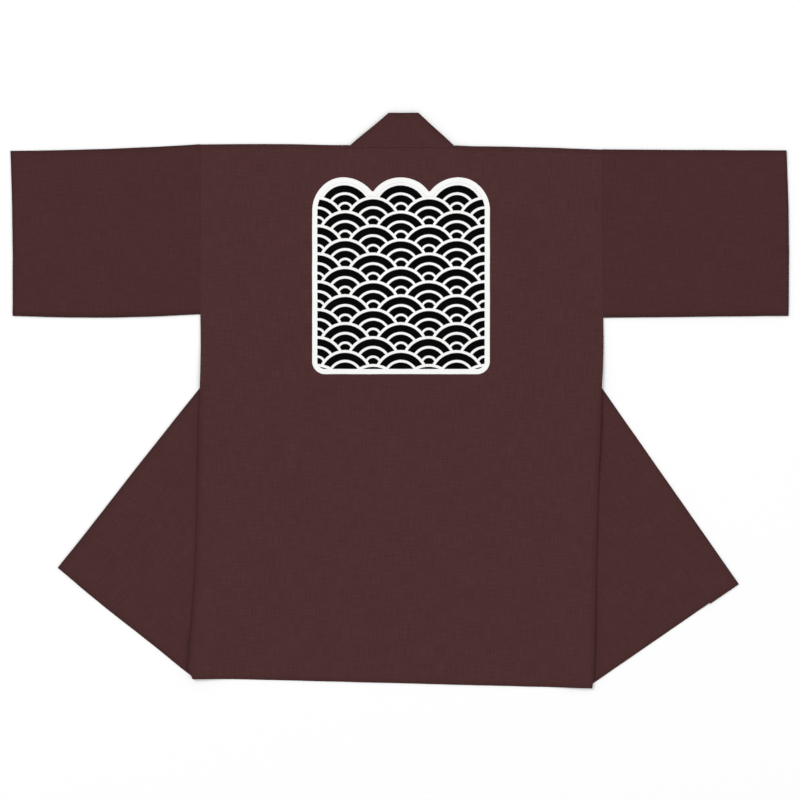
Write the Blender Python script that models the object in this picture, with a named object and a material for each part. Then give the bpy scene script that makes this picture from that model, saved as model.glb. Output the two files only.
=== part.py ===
import math
from functools import partial
from typing import NamedTuple

import bmesh
import bpy
from mathutils import Vector

# Driving dimensions, in metres. The coat lies on its fronts on the plane z = 0, back up, with -X to the
# wearer's left and +Y towards the neck.
CLOTH = 0.0011
BAND = 2 * CLOTH  # the collar is a band folded double
GAP = 0.0003
BAND_WIDTH = 0.055
COLLAR_TOP = 0.4536
FOLD_WIDTH = 0.003  # flat cloth that one fold turns over
FOLD_STEPS = 8
SHOULDER_RETURN = 0.008  # the fronts reach this far over the shoulder, to their seam with the back
NECK_CLEARANCE = 0.004  # the shoulder's fold ends this far from the collar's
NECK_NOTCH = 0.015  # and the front meets the collar again this far below it
NECK_DIP = 0.003  # the back's neck edge clears the collar's folds by this much
NECK_DIP_LENGTH = 0.016
BLEND = 0.025  # cloth beside the band comes down from the band's mid height in this distance
SETTLE = 0.060  # cloth comes down from the layers under it in this distance
SETTLE_STEPS = 4
FOLD_REACH = 0.003  # what lies over a fold stays up until this far past it
BAND_STEP = 0.015
BAND_STEPS_TO = 0.26  # half the length over which the collar is stepped, from the middle of the neck
SLEEVE_STATIONS = 5
SLEEVE_SAG = 0.002
LEAST_EDGE = 0.0002
CLOTH_COLOUR = (0.0723, 0.0296, 0.0296, 1.0)
CLOTH_ROUGHNESS = 0.9

NECK_Y = COLLAR_TOP - BAND_WIDTH - GAP
BLEND_FROM = BAND_WIDTH + FOLD_REACH
BLEND_TO = BLEND_FROM + BLEND


class Half(NamedTuple):
    name: str
    outward: int
    cuff_top: tuple
    cuff_bottom: tuple
    shoulder: tuple  # where the armhole meets the fold over the shoulder
    neck_end: tuple  # where the fold over the shoulder ends at the neck
    underarm: tuple
    slit_top: tuple
    slit_middle: tuple
    hem_corner: tuple
    fold_hem: tuple  # the front is turned out along the line from fold_hem to fold_neck
    fold_neck: tuple
    flap_corner: tuple  # the front's lower corner, where it lies turned out


HALVES = (
    Half(
        name="left",
        outward=-1,
        cuff_top=(-0.6140, 0.3942),
        cuff_bottom=(-0.6107, 0.1335),
        shoulder=(-0.3144, 0.4045),
        neck_end=(-0.0766, 0.4030),
        underarm=(-0.3144, 0.1360),
        slit_top=(-0.3150, 0.0198),
        slit_middle=(-0.3215, -0.2520),
        hem_corner=(-0.3310, -0.4369),
        fold_hem=(-0.3200, -0.4372),
        fold_neck=(-0.0177, 0.3990),
        flap_corner=(-0.5396, -0.2662),
    ),
    Half(
        name="right",
        outward=1,
        cuff_top=(0.6110, 0.3950),
        cuff_bottom=(0.6140, 0.1335),
        shoulder=(0.3200, 0.3965),
        neck_end=(0.0861, 0.4022),
        underarm=(0.3215, 0.1304),
        slit_top=(0.3192, 0.0198),
        slit_middle=(0.3121, -0.2520),
        hem_corner=(0.3042, -0.4543),
        fold_hem=(0.2950, -0.4541),
        fold_neck=(0.0284, 0.4369),
        flap_corner=(0.5348, -0.2884),
    ),
)


class Line:
    def __init__(self, start, normal):
        self.start = Vector(start)
        self.normal = Vector(normal).normalized()

    def distance(self, point):
        return (Vector(point) - self.start).dot(self.normal)

    def mirror(self, point):
        return Vector(point) - 2 * self.distance(point) * self.normal

    def shifted(self, distance):
        return Line(self.start + distance * self.normal, self.normal)

    def mirrored(self, fold):
        return Line(fold.mirror(self.start), self.normal - 2 * self.normal.dot(fold.normal) * fold.normal)

    def crossing(self, other):
        along = Vector((-self.normal.y, self.normal.x))
        return self.start - along * (other.distance(self.start) / along.dot(other.normal))


def line_through(start, end, beyond):
    start = Vector(start)
    along = Vector(end) - start
    normal = Vector((-along.y, along.x))
    if (Vector(beyond) - start).dot(normal) < 0:
        normal.negate()
    return Line(start, normal)


def ramp(value, stops):
    if value <= stops[0][0]:
        return stops[0][1]
    for (low, first), (high, last) in zip(stops, stops[1:]):
        if value <= high:
            return first + (last - first) * (value - low) / (high - low)
    return stops[-1][1]


def settling(start):
    shares = [k / SETTLE_STEPS for k in range(SETTLE_STEPS + 1)]
    return [(start + SETTLE * share, share * share * (3 - 2 * share)) for share in shares]


def beside_band(inside, on_band, away):
    return ramp(inside, [(BLEND_FROM, on_band), (BLEND_TO, away)])


RISE = settling(-SETTLE)
FALL = [(at, 1 - share) for at, share in settling(FOLD_REACH)]


class Layers:
    """One half's folds, and how high its cloth lies in the back's, the front's and the flap's layer."""

    def __init__(self, half):
        self.half = half
        inward = -half.outward
        self.shoulder = line_through(half.shoulder, half.neck_end, (half.shoulder[0], COLLAR_TOP))
        self.lapel = line_through(half.fold_neck, half.fold_hem, (inward, half.fold_hem[1]))
        self.flap_edge = line_through(half.fold_neck, half.flap_corner, half.fold_hem)
        front_corner = self.lapel.mirror(half.flap_corner)
        self.front_edge = line_through(half.fold_neck, front_corner, (inward, half.fold_neck[1]))
        self.down = (front_corner - self.front_edge.start).normalized()
        top = self.front_edge.start + self.down * ((COLLAR_TOP - self.front_edge.start.y) / self.down.y)
        self.crease = Line(top, Vector((half.outward, 0)) - self.down)
        self.flap_hem = line_through(half.flap_corner, half.fold_hem, half.fold_neck)
        self.seam_top = self.front_edge.shifted(-BAND_WIDTH - GAP).crossing(self.shoulder)
        self.neck = self.seam_top + Vector((half.outward * NECK_CLEARANCE, 0))

    def flap_height(self, point):
        return beside_band(self.flap_edge.distance(point), BAND, CLOTH) / 2

    def front_base(self, point):
        inside = self.flap_edge.distance(point)
        return ramp(inside, RISE) * (beside_band(inside, BAND, CLOTH) + GAP)

    def front_height(self, point):
        return self.front_base(point) + beside_band(-self.front_edge.distance(point), BAND, CLOTH) / 2

    def support(self, point):
        past_edge = self.front_edge.distance(point)
        top = self.front_base(point) + beside_band(-past_edge, BAND, CLOTH)
        return (top + GAP) * ramp(max(self.lapel.distance(point), past_edge), FALL)


LEFT, RIGHT = (Layers(half) for half in HALVES)


def back_base(point):
    return max(LEFT.support(point), RIGHT.support(point))


def back_height(point):
    return back_base(point) + CLOTH / 2


def neck_band_height(point):
    return back_base(point) + BAND / 2


def folded(point, offset, folds, heights):
    """Carries a point of a flat pattern over its folds. Each fold turns down to the next layer."""
    point = Vector(point)
    for fold, upper, lower in zip(folds, heights, heights[1:]):
        past = fold.distance(point)
        if past <= -FOLD_WIDTH / 2:
            return (*point, upper(point) + offset)
        if past < FOLD_WIDTH / 2:
            on_fold = point - past * fold.normal
            radius = (upper(on_fold) - lower(on_fold)) / 2
            turn = math.pi * (past / FOLD_WIDTH + 0.5)
            reach = (radius + offset) * math.sin(turn) - FOLD_WIDTH / 2
            height = upper(on_fold) - radius + (radius + offset) * math.cos(turn)
            return (*(on_fold + reach * fold.normal), height)
        point = fold.mirror(point)
        offset = -offset
    return (*point, heights[-1](point) + offset)


def fold_cuts(line):
    return [line.shifted(FOLD_WIDTH * (k / FOLD_STEPS - 0.5)) for k in range(FOLD_STEPS + 1)]


def height_cuts(layers):
    cuts = [layers.flap_edge.shifted(at) for at, share in RISE]
    cuts += [layers.flap_edge.shifted(inside) for inside in (BLEND_FROM, BLEND_TO)]
    return cuts + [layers.front_edge.shifted(-inside) for inside in (BLEND_FROM, BLEND_TO)]


def cut(sheet, lines, chosen=lambda point: True):
    for line in lines:
        faces = [face for face in sheet.faces if chosen(face.calc_center_median().xy)]
        edges = {edge for face in faces for edge in face.edges}
        corners = {corner for face in faces for corner in face.verts}
        bmesh.ops.bisect_plane(
            sheet,
            geom=[*corners, *edges, *faces],
            dist=1e-6,
            plane_co=(*line.start, 0.0),
            plane_no=(*line.normal, 0.0),
        )


def flat_sheet(outline):
    sheet = bmesh.new()
    sheet.faces.new([sheet.verts.new((*point, 0.0)) for point in outline])
    return sheet


def cloth_solid(sheet, thickness, place):
    bmesh.ops.remove_doubles(sheet, verts=sheet.verts, dist=LEAST_EDGE)
    bmesh.ops.triangulate(sheet, faces=sheet.faces)
    solid = bmesh.new()
    upper = {corner: solid.verts.new(place(corner.co.xy, thickness / 2)) for corner in sheet.verts}
    lower = {corner: solid.verts.new(place(corner.co.xy, -thickness / 2)) for corner in sheet.verts}
    for face in sheet.faces:
        solid.faces.new([upper[corner] for corner in face.verts])
        solid.faces.new([lower[corner] for corner in reversed(face.verts)])
    for first, last in [edge.verts for edge in sheet.edges if edge.is_boundary]:
        solid.faces.new((upper[first], upper[last], lower[last], lower[first]))
    sheet.free()
    bmesh.ops.recalc_face_normals(solid, faces=solid.faces)
    return solid


def back_solid():
    left, right = LEFT.half, RIGHT.half
    seam_drop = Vector((0, SHOULDER_RETURN + GAP))
    sheet = flat_sheet(
        [
            Vector(left.shoulder) - seam_drop,
            left.underarm,
            left.slit_top,
            left.slit_middle,
            left.hem_corner,
            right.hem_corner,
            right.slit_middle,
            right.slit_top,
            right.underarm,
            Vector(right.shoulder) - seam_drop,
            (RIGHT.neck.x, NECK_Y - NECK_DIP),
            (RIGHT.neck.x - NECK_DIP_LENGTH, NECK_Y),
            (LEFT.neck.x + NECK_DIP_LENGTH, NECK_Y),
            (LEFT.neck.x, NECK_Y - NECK_DIP),
        ]
    )
    middle = Line(((LEFT.neck.x + RIGHT.neck.x) / 2, 0), (1, 0))
    cut(sheet, [middle])
    for layers in (LEFT, RIGHT):

        def on_side(point, layers=layers):
            return middle.distance(point) * layers.half.outward > 0

        def over_front(point, layers=layers):
            return on_side(point, layers) and layers.lapel.distance(point) < FALL[-1][0]

        cut(sheet, [layers.lapel.shifted(at) for at, share in FALL], on_side)
        cut(sheet, height_cuts(layers), over_front)
    return cloth_solid(sheet, CLOTH, partial(folded, folds=[], heights=[back_height]))


def front_solid(layers):
    half, shoulder, lapel = layers.half, layers.shoulder, layers.lapel
    seam_end = layers.flap_edge.shifted(BAND_WIDTH + GAP).crossing(layers.flap_hem)
    sheet = flat_sheet(
        [
            half.shoulder,
            Vector(half.shoulder) - Vector((0, SHOULDER_RETURN)),
            (layers.neck.x, NECK_Y - NECK_DIP + GAP),
            layers.neck,
            shoulder.mirror(layers.seam_top + NECK_NOTCH * layers.down),
            shoulder.mirror(lapel.mirror(seam_end)),
            shoulder.mirror(half.hem_corner),
            shoulder.mirror(half.slit_middle),
            shoulder.mirror(half.slit_top),
            shoulder.mirror(half.underarm),
        ]
    )
    lapel_flat = lapel.mirrored(shoulder)
    cut(sheet, [*fold_cuts(shoulder), *fold_cuts(lapel_flat)])
    cut(sheet, [layers.front_edge.shifted(-inside).mirrored(shoulder) for inside in (BLEND_FROM, BLEND_TO)])
    cut(
        sheet,
        [line.mirrored(shoulder) for line in height_cuts(layers)],
        lambda point: lapel_flat.distance(point) < FOLD_WIDTH / 2 < shoulder.distance(point),
    )
    heights = [back_height, layers.front_height, layers.flap_height]
    return cloth_solid(sheet, CLOTH, partial(folded, folds=[shoulder, lapel], heights=heights))


def collar_solid():
    ends = []
    for layers in (LEFT, RIGHT):
        seam_end = layers.flap_edge.shifted(BAND_WIDTH).crossing(layers.flap_hem)
        for corner in (layers.half.flap_corner, seam_end):
            ends.append(layers.crease.mirror(layers.lapel.mirror(corner)))
    left_edge, left_seam, right_edge, right_seam = ends
    sheet = flat_sheet([left_edge, left_seam, right_seam, right_edge])
    for layers in (LEFT, RIGHT):
        cut(sheet, [*fold_cuts(layers.crease), *fold_cuts(layers.lapel.mirrored(layers.crease))])
    steps = round(BAND_STEPS_TO / BAND_STEP)
    cut(sheet, [Line((k * BAND_STEP, 0), (1, 0)) for k in range(-steps, steps + 1)])

    def place(point, offset):
        layers = LEFT if point.x < 0 else RIGHT
        heights = [neck_band_height, layers.front_height, layers.flap_height]
        return folded(point, offset, [layers.crease, layers.lapel], heights)

    return cloth_solid(sheet, BAND, place)


def tube_section(top, bottom):
    """Rings round the outer and inner faces of a flattened tube, from its upper fold to its lower one."""
    outer = CLOTH + GAP / 2
    up = (top - bottom).normalized()
    rings = []
    for radius in (outer, GAP / 2):
        ring = []
        for hinge, way, rise in ((top - outer * up, up, 1), (bottom + outer * up, -up, -1)):
            for k in range(FOLD_STEPS + 1):
                turn = math.pi * k / FOLD_STEPS
                place = hinge + radius * math.sin(turn) * way
                ring.append((*place, outer + rise * radius * math.cos(turn)))
        rings.append(ring)
    return rings


def sleeve_solid(layers):
    half = layers.half
    seam = Vector((half.outward * GAP, 0))
    solid = bmesh.new()
    stations = []
    for k in range(SLEEVE_STATIONS):
        share = k / (SLEEVE_STATIONS - 1)
        top = (Vector(half.shoulder) + seam).lerp(Vector(half.cuff_top), share)
        bottom = (Vector(half.underarm) + seam).lerp(Vector(half.cuff_bottom), share)
        bottom.y -= SLEEVE_SAG * math.sin(math.pi * share)
        rings = tube_section(top, bottom)
        stations.append([[solid.verts.new(point) for point in ring] for ring in rings])
    count = len(stations[0][0])
    for k in range(count):
        after = (k + 1) % count
        for here, there in zip(stations, stations[1:]):
            for first, last in zip(here, there):
                solid.faces.new((first[k], first[after], last[after], last[k]))
        for outer, inner in (stations[0], stations[-1]):
            solid.faces.new((outer[k], outer[after], inner[after], inner[k]))
    bmesh.ops.recalc_face_normals(solid, faces=solid.faces)
    return solid


def cotton(name):
    material = bpy.data.materials.new(f"{name}_cotton")
    material.use_nodes = True
    shader = material.node_tree.nodes["Principled BSDF"]
    shader.inputs["Base Color"].default_value = CLOTH_COLOUR
    shader.inputs["Roughness"].default_value = CLOTH_ROUGHNESS
    shader.inputs["Metallic"].default_value = 0.0
    return material


def add_piece(name, solid, coat):
    mesh = bpy.data.meshes.new(name)
    solid.to_mesh(mesh)
    solid.free()
    mesh.shade_smooth()
    mesh.set_sharp_from_angle(angle=math.radians(50))
    mesh.materials.append(cotton(name))
    piece = bpy.data.objects.new(name, mesh)
    piece.parent = coat
    bpy.context.scene.collection.objects.link(piece)


def clear_scene():
    for thing in list(bpy.data.objects):
        bpy.data.objects.remove(thing)


def build_coat():
    coat = bpy.data.objects.new("happi_coat", None)
    bpy.context.scene.collection.objects.link(coat)
    add_piece("back", back_solid(), coat)
    for layers in (LEFT, RIGHT):
        add_piece(f"front_{layers.half.name}", front_solid(layers), coat)
        add_piece(f"sleeve_{layers.half.name}", sleeve_solid(layers), coat)
    add_piece("collar", collar_solid(), coat)


clear_scene()
build_coat()
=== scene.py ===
import math

import bpy
import numpy as np
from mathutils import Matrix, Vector, kdtree
from mathutils.geometry import delaunay_2d_cdt


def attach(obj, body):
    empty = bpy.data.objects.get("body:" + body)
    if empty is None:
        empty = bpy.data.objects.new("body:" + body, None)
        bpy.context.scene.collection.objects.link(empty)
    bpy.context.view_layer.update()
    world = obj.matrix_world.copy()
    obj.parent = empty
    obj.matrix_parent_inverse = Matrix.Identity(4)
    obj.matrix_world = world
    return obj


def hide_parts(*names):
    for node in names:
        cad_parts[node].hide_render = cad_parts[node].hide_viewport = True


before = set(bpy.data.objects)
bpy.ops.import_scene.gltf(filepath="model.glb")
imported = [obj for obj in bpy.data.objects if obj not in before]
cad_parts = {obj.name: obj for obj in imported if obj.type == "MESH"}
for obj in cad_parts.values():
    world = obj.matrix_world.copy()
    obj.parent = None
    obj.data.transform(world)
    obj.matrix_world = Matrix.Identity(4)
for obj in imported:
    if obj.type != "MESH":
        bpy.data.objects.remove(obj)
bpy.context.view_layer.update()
print("frame loaded")

# The coat lies back up on z = 0, neck towards +Y, the wearer's left towards -X. All sizes are in metres.
coat = {
    "cloth": 0.0011,  # room that one layer takes
    "band": 0.0022,  # room that the doubled collar takes
    "gap": 0.0003,  # air between two layers
    "seamGap": 0.00004,  # sewn edges meet this closely
    "bandWidth": 0.055,
    "collarTop": 0.4536,
    "foldWidth": 0.003,  # flat cloth that one fold turns over
    "shoulderReturn": 0.008,  # how far the fronts reach over the shoulder fold to their seam
    "neckClearance": 0.0012,  # the back's and the fronts' neck ends keep this far outside the collar seam
    "neckNotch": 0.008,
    "creaseClearance": 0.00064,  # the front's corner keeps this far from the collar's turn
    "turnRoom": 0.0006,  # the back's corner leaves this much room for that turn
    "turnLength": 0.0042,
    "neckDip": 0.003,
    "neckSink": 0.00025,  # the band beds into the cloth it is sewn to
    "blend": 0.025,  # cloth beside the band comes down in this distance
    "settle": 0.060,  # cloth comes down from the layers under it in this distance
    "foldReach": 0.003,
}
halves = {
    "left": {
        "outward": -1,
        "cuffTop": (-0.6140, 0.3942),
        "cuffBottom": (-0.6107, 0.1335),
        "shoulder": (-0.3144, 0.4045),
        "neckEnd": (-0.0766, 0.4030),
        "underarm": (-0.3144, 0.1360),
        "slitTop": (-0.3150, 0.0198),
        "slitMiddle": (-0.3215, -0.2520),
        "hemTurn": (-0.3320, -0.4210),
        "hemCorner": (-0.3250, -0.4382),
        "foldHem": (-0.3200, -0.4372),
        "foldNeck": (-0.0177, 0.3990),
        "flapCorner": (-0.5396, -0.2662),
        "bandPastHem": 0.0,
    },
    "right": {
        "outward": 1,
        "cuffTop": (0.6110, 0.3950),
        "cuffBottom": (0.6140, 0.1335),
        "shoulder": (0.3200, 0.3965),
        "neckEnd": (0.0861, 0.4022),
        "underarm": (0.3215, 0.1304),
        "slitTop": (0.3192, 0.0198),
        "slitMiddle": (0.3121, -0.2520),
        "hemTurn": (0.3070, -0.4321),
        "hemCorner": (0.3042, -0.4543),
        "foldHem": (0.2950, -0.4541),
        "foldNeck": (0.0284, 0.4369),
        "flapCorner": (0.5348, -0.2884),
        "bandPastHem": 0.0018,
    },
}
neckY = coat["collarTop"] - coat["bandWidth"] - coat["seamGap"]


def eased(share):
    share = np.clip(share, 0.0, 1.0)
    return share * share * (3 - 2 * share)


class Line:
    def __init__(self, start, normal):
        self.start = np.array(start, dtype=float)
        normal = np.array(normal, dtype=float)
        self.normal = normal / np.linalg.norm(normal)
        self.along = np.array((-self.normal[1], self.normal[0]))

    def distance(self, points):
        return (np.asarray(points) - self.start) @ self.normal

    def mirror(self, points):
        return np.asarray(points) - 2 * np.multiply.outer(self.distance(points), self.normal)

    def shifted(self, by):
        return Line(self.start + by * self.normal, self.normal)

    def mirrored(self, fold):
        return Line(fold.mirror(self.start), self.normal - 2 * (self.normal @ fold.normal) * fold.normal)

    def crossing(self, other):
        return self.start - self.along * (other.distance(self.start) / (self.along @ other.normal))


def lineThrough(start, end, beyond):
    start = np.array(start)
    along = np.array(end) - start
    normal = np.array((-along[1], along[0]))
    if (np.array(beyond) - start) @ normal < 0:
        normal = -normal
    return Line(start, normal)


def besideBand(inside, onBand, away):
    share = (inside - coat["bandWidth"] - coat["foldReach"]) / coat["blend"]
    return onBand + (away - onBand) * eased(share)


class Half:
    # one side's fold lines, and how high its cloth lies in each layer

    def __init__(self, places):
        self.places = {key: np.array(place) for key, place in places.items()}
        at = self.places
        outward = places["outward"]
        inward = -outward
        self.bandPastHem = places["bandPastHem"]
        self.shoulder = lineThrough(at["shoulder"], at["neckEnd"], (at["shoulder"][0], coat["collarTop"]))
        self.lapel = lineThrough(at["foldNeck"], at["foldHem"], (inward, at["foldHem"][1]))
        self.flapEdge = lineThrough(at["foldNeck"], at["flapCorner"], at["foldHem"])
        frontCorner = self.lapel.mirror(at["flapCorner"])
        self.frontEdge = lineThrough(at["foldNeck"], frontCorner, (inward, at["foldNeck"][1]))
        down = frontCorner - self.frontEdge.start
        self.down = down / np.linalg.norm(down)
        rise = (coat["collarTop"] - self.frontEdge.start[1]) / self.down[1]
        self.crease = Line(self.frontEdge.start + self.down * rise, np.array((outward, 0)) - self.down)
        self.flapHem = lineThrough(at["flapCorner"], at["foldHem"], at["foldNeck"])
        self.seamTop = self.frontEdge.shifted(-coat["bandWidth"] - coat["seamGap"]).crossing(self.shoulder)
        self.neck = self.seamTop + np.array((outward * coat["neckClearance"], 0))
        besideCrease = self.crease.shifted(coat["creaseClearance"])
        self.neckTop = besideCrease.crossing(self.shoulder)
        self.neckFoot = besideCrease.crossing(Line((0, neckY), (0, 1)))

    def flapHeight(self, points):
        return besideBand(self.flapEdge.distance(points), coat["band"], coat["cloth"]) / 2

    def frontBase(self, points):
        inside = self.flapEdge.distance(points)
        onFlap = eased((inside + coat["settle"]) / coat["settle"])
        return onFlap * (besideBand(inside, coat["band"], coat["cloth"]) + coat["gap"])

    def frontThickness(self, points):
        return besideBand(-self.frontEdge.distance(points), coat["band"], coat["cloth"])

    def frontHeight(self, points):
        return self.frontBase(points) + self.frontThickness(points) / 2

    def support(self, points):
        past = np.maximum(self.lapel.distance(points), self.frontEdge.distance(points))
        held = 1 - eased((past - coat["foldReach"]) / coat["settle"])
        return (self.frontBase(points) + self.frontThickness(points) + coat["gap"]) * held


leftHalf = Half(halves["left"])
rightHalf = Half(halves["right"])
sideHalves = {"left": leftHalf, "right": rightHalf}


def backBase(points):
    return np.maximum(leftHalf.support(points), rightHalf.support(points))


def backHeight(points):
    return backBase(points) + coat["cloth"] / 2


# Where the back's slit edges stand off the cloth below, each: x, y, half length, height
slitLift = {
    "reach": 0.030,
    "places": [
        (0.319, -0.040, 0.060, 0.0027),
        (0.306, -0.375, 0.070, 0.0022),
        (-0.319, -0.060, 0.060, 0.0006),
        (-0.331, -0.400, 0.045, 0.0034),
    ],
}


def liftedBack(points):
    rise = np.zeros(len(points))
    for x, y, halfLength, height in slitLift["places"]:
        beside = np.exp(-(((points[:, 0] - x) / slitLift["reach"]) ** 2))
        rise += height * beside * np.exp(-(((points[:, 1] - y) / halfLength) ** 2))
    return backHeight(points) + rise


def neckBandHeight(points):
    return backBase(points) + coat["band"] / 2 - coat["neckSink"]


lay = {
    # slow waves, each: wave length, direction in degrees, start, height
    "waves": [
        (0.210, 12, 0.4, 0.00022),
        (0.145, 78, 2.1, 0.00018),
        (0.093, -37, 4.0, 0.00012),
        (0.067, 55, 1.2, 0.00007),
        (0.051, 118, 3.3, 0.00005),
    ],
    # soft creases, each: start, end, height, width
    "creases": [
        ((-0.363, -0.126), (-0.320, -0.078), 0.00045, 0.0040),
        ((-0.488, -0.270), (-0.466, -0.292), 0.00030, 0.0030),
        ((-0.306, 0.128), (-0.236, 0.178), 0.00040, 0.0070),
        ((-0.300, 0.112), (-0.250, 0.070), 0.00030, 0.0060),
        ((0.312, 0.122), (0.238, 0.166), 0.00040, 0.0070),
        ((0.306, 0.104), (0.262, 0.056), 0.00030, 0.0060),
        ((-0.052, 0.380), (-0.150, 0.362), 0.00030, 0.0060),
        ((0.064, 0.380), (0.156, 0.356), 0.00030, 0.0060),
        ((0.345, -0.060), (0.415, -0.180), 0.00040, 0.0050),
        ((0.492, -0.322), (0.462, -0.290), 0.00035, 0.0035),
        ((-0.560, 0.372), (-0.430, 0.352), 0.00030, 0.0070),
        ((0.420, 0.150), (0.548, 0.176), 0.00030, 0.0070),
        ((-0.240, -0.400), (-0.196, -0.330), 0.00030, 0.0060),
        ((0.180, -0.420), (0.142, -0.345), 0.00030, 0.0060),
    ],
    "drift": 0.00012,  # small ripples along every edge
    # how far an edge bows at its middle, each: side, from, to, move in x, move in y
    "bows": [
        ("left", "cuffTop", "shoulder", 0.0, -0.0020),
        ("left", "shoulder", "neckEnd", 0.0, 0.0015),
        ("left", "cuffTop", "cuffBottom", 0.0015, 0.0),
        ("left", "cuffBottom", "underarm", 0.0, -0.0020),
        ("left", "underarm", "slitTop", 0.0010, 0.0),
        ("left", "slitTop", "flapCorner", -0.0008, 0.0006),
        ("left", "flapCorner", "foldHem", -0.0012, -0.0013),
        ("right", "shoulder", "neckEnd", 0.0, 0.0010),
        ("right", "cuffTop", "cuffBottom", 0.0020, 0.0),
        ("right", "cuffBottom", "underarm", 0.0, 0.0020),
        ("right", "underarm", "slitTop", 0.0015, 0.0),
        ("right", "slitTop", "hemTurn", -0.0015, 0.0),
    ],
    "bowReach": 0.041,
    # how far the cloth round a corner is pulled, each: side, corner, move in x, move in y, reach
    "pulls": [
        ("left", "neckEnd", -0.0088, 0.0, 0.052),
        ("right", "neckEnd", 0.0067, 0.0, 0.052),
        ("left", "flapCorner", 0.0, 0.0020, 0.041),
        ("left", "hemTurn", -0.0010, -0.0020, 0.041),
    ],
}


def pathDistance(points, path):
    nearest = np.full(len(points), 9.0)
    along = np.zeros(len(points))
    run = 0.0
    for start, end in zip(path[:-1], path[1:]):
        step = end - start
        length = np.linalg.norm(step)
        share = np.clip(((points - start) @ step) / length**2, 0, 1)
        away = np.linalg.norm(points - start - share[:, None] * step, axis=1)
        along = np.where(away < nearest, run + share * length, along)
        nearest = np.minimum(nearest, away)
        run += length
    return nearest, along


def laidDown(points):
    # lifts and pulls every layer at one place alike, so that layers stay apart
    flat = points[:, :2]
    rise = np.zeros(len(points))
    for length, degrees, start, height in lay["waves"]:
        way = np.array((math.cos(math.radians(degrees)), math.sin(math.radians(degrees))))
        across = np.array((-way[1], way[0]))
        bend = 1.1 * np.sin(flat @ across * 2 * math.pi / (2.3 * length) + 2 * start)
        rise += height * (1 + np.sin(flat @ way * 2 * math.pi / length + start + bend)) / 2
    for start, end, height, width in lay["creases"]:
        start, end = np.array(start), np.array(end)
        away, along = pathDistance(flat, [start, end])
        share = along / np.linalg.norm(end - start)
        rise += height * np.exp(-((away / width) ** 2)) * np.sin(math.pi * np.clip(share * 0.9 + 0.05, 0, 1))
    x, y = flat[:, 0], flat[:, 1]
    laid = points.copy()
    sideways = np.sin(61 * y + 1.7 * np.sin(23 * y + 1)) + 0.4 * np.sin(171 * y + 40 * x)
    endways = np.sin(57 * x + 1.9 * np.sin(19 * x + 2)) + 0.4 * np.sin(163 * x - 35 * y)
    laid[:, 0] += lay["drift"] * sideways / 1.4
    laid[:, 1] += lay["drift"] * endways / 1.4
    for side, start, end, moveX, moveY in lay["bows"]:
        path = [sideHalves[side].places[start], sideHalves[side].places[end]]
        away, along = pathDistance(flat, path)
        bow = np.sin(math.pi * along / math.dist(*path)) * np.exp(-((away / lay["bowReach"]) ** 2))
        laid[:, 0] += moveX * bow
        laid[:, 1] += moveY * bow
    for side, corner, moveX, moveY, reach in lay["pulls"]:
        away = np.linalg.norm(flat - sideHalves[side].places[corner], axis=1)
        share = np.exp(-((away / reach) ** 2))
        laid[:, 0] += moveX * share
        laid[:, 1] += moveY * share
    laid[:, 2] += rise
    return laid


def foldedOver(points, offset, folds, heights):
    # carries points of a flat pattern over its folds; each fold turns down to the next layer
    flat = points.copy()
    offset = offset.copy()
    placed = np.zeros((len(points), 3))
    left = np.ones(len(points), dtype=bool)
    half = coat["foldWidth"] / 2
    for fold, upper, lower in zip(folds, heights, heights[1:]):
        past = fold.distance(flat)
        before = left & (past <= -half)
        placed[before, :2] = flat[before]
        placed[before, 2] = upper(flat[before]) + offset[before]
        turning = left & (np.abs(past) < half)
        onFold = flat[turning] - past[turning, None] * fold.normal
        radius = (upper(onFold) - lower(onFold)) / 2
        turn = math.pi * (past[turning] / coat["foldWidth"] + 0.5)
        reach = (radius + offset[turning]) * np.sin(turn) - half
        placed[turning, :2] = onFold + reach[:, None] * fold.normal
        placed[turning, 2] = upper(onFold) - radius + (radius + offset[turning]) * np.cos(turn)
        left &= past >= half
        flat = np.where(left[:, None], fold.mirror(flat), flat)
        offset = np.where(left, -offset, offset)
    placed[left, :2] = flat[left]
    placed[left, 2] = heights[-1](flat[left]) + offset[left]
    return placed


sewing = {
    "roundRows": (0.00003, 0.00012, 0.0003, 0.0009),  # rows of points this deep behind every rim
    "ownDepth": 0.97,
    "seamRows": (-0.0014, -0.0006, 0, 0.0006, 0.0014, 0.0026),  # rows beside every line of stitches
    "foldRows": 12,
    "foldSpan": 1.3,
    "foldStep": 0.004,
    "edgeStep": 0.003,
    "rowClearance": 0.0012,  # rows at folds and stitches keep this far from the rim
    "nearest": 0.00012,  # of two points closer than this, one is kept
    "cell": 0.0002,
    "gridRise": 0.866,  # the even grid's row spacing, as a share of its step
    "gridClearance": 0.6,
    "stitchPitch": 0.0032,
    "stitchLength": 0.0024,
    "stitchStart": 0.15,
    "stitchHeights": (-0.00010, 0.00010, 0.00010, -0.00010),
    "stitchWidths": (0.55, 1.0, 1.0, 0.55),
    "threadEnd": 0.002,  # stitches stop this far before a row's end
    "threadSides": 5,
    "threadRadius": 0.00017,
    "foldedPast": 0.0008,  # the turned-in cloth ends this far past its stitches
    "foldedFade": 0.0016,
    "puckerLength": 0.0105,
    "puckerHeight": 0.00005,
    "puckerReach": 0.0045,
    "grooveDepth": 0.00014,
    "grooveWidth": 0.0006,
    "sewnRound": 0.00003,  # a sewn edge turns in this tightly
    "shadeReach": 0.0034,
}


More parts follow.
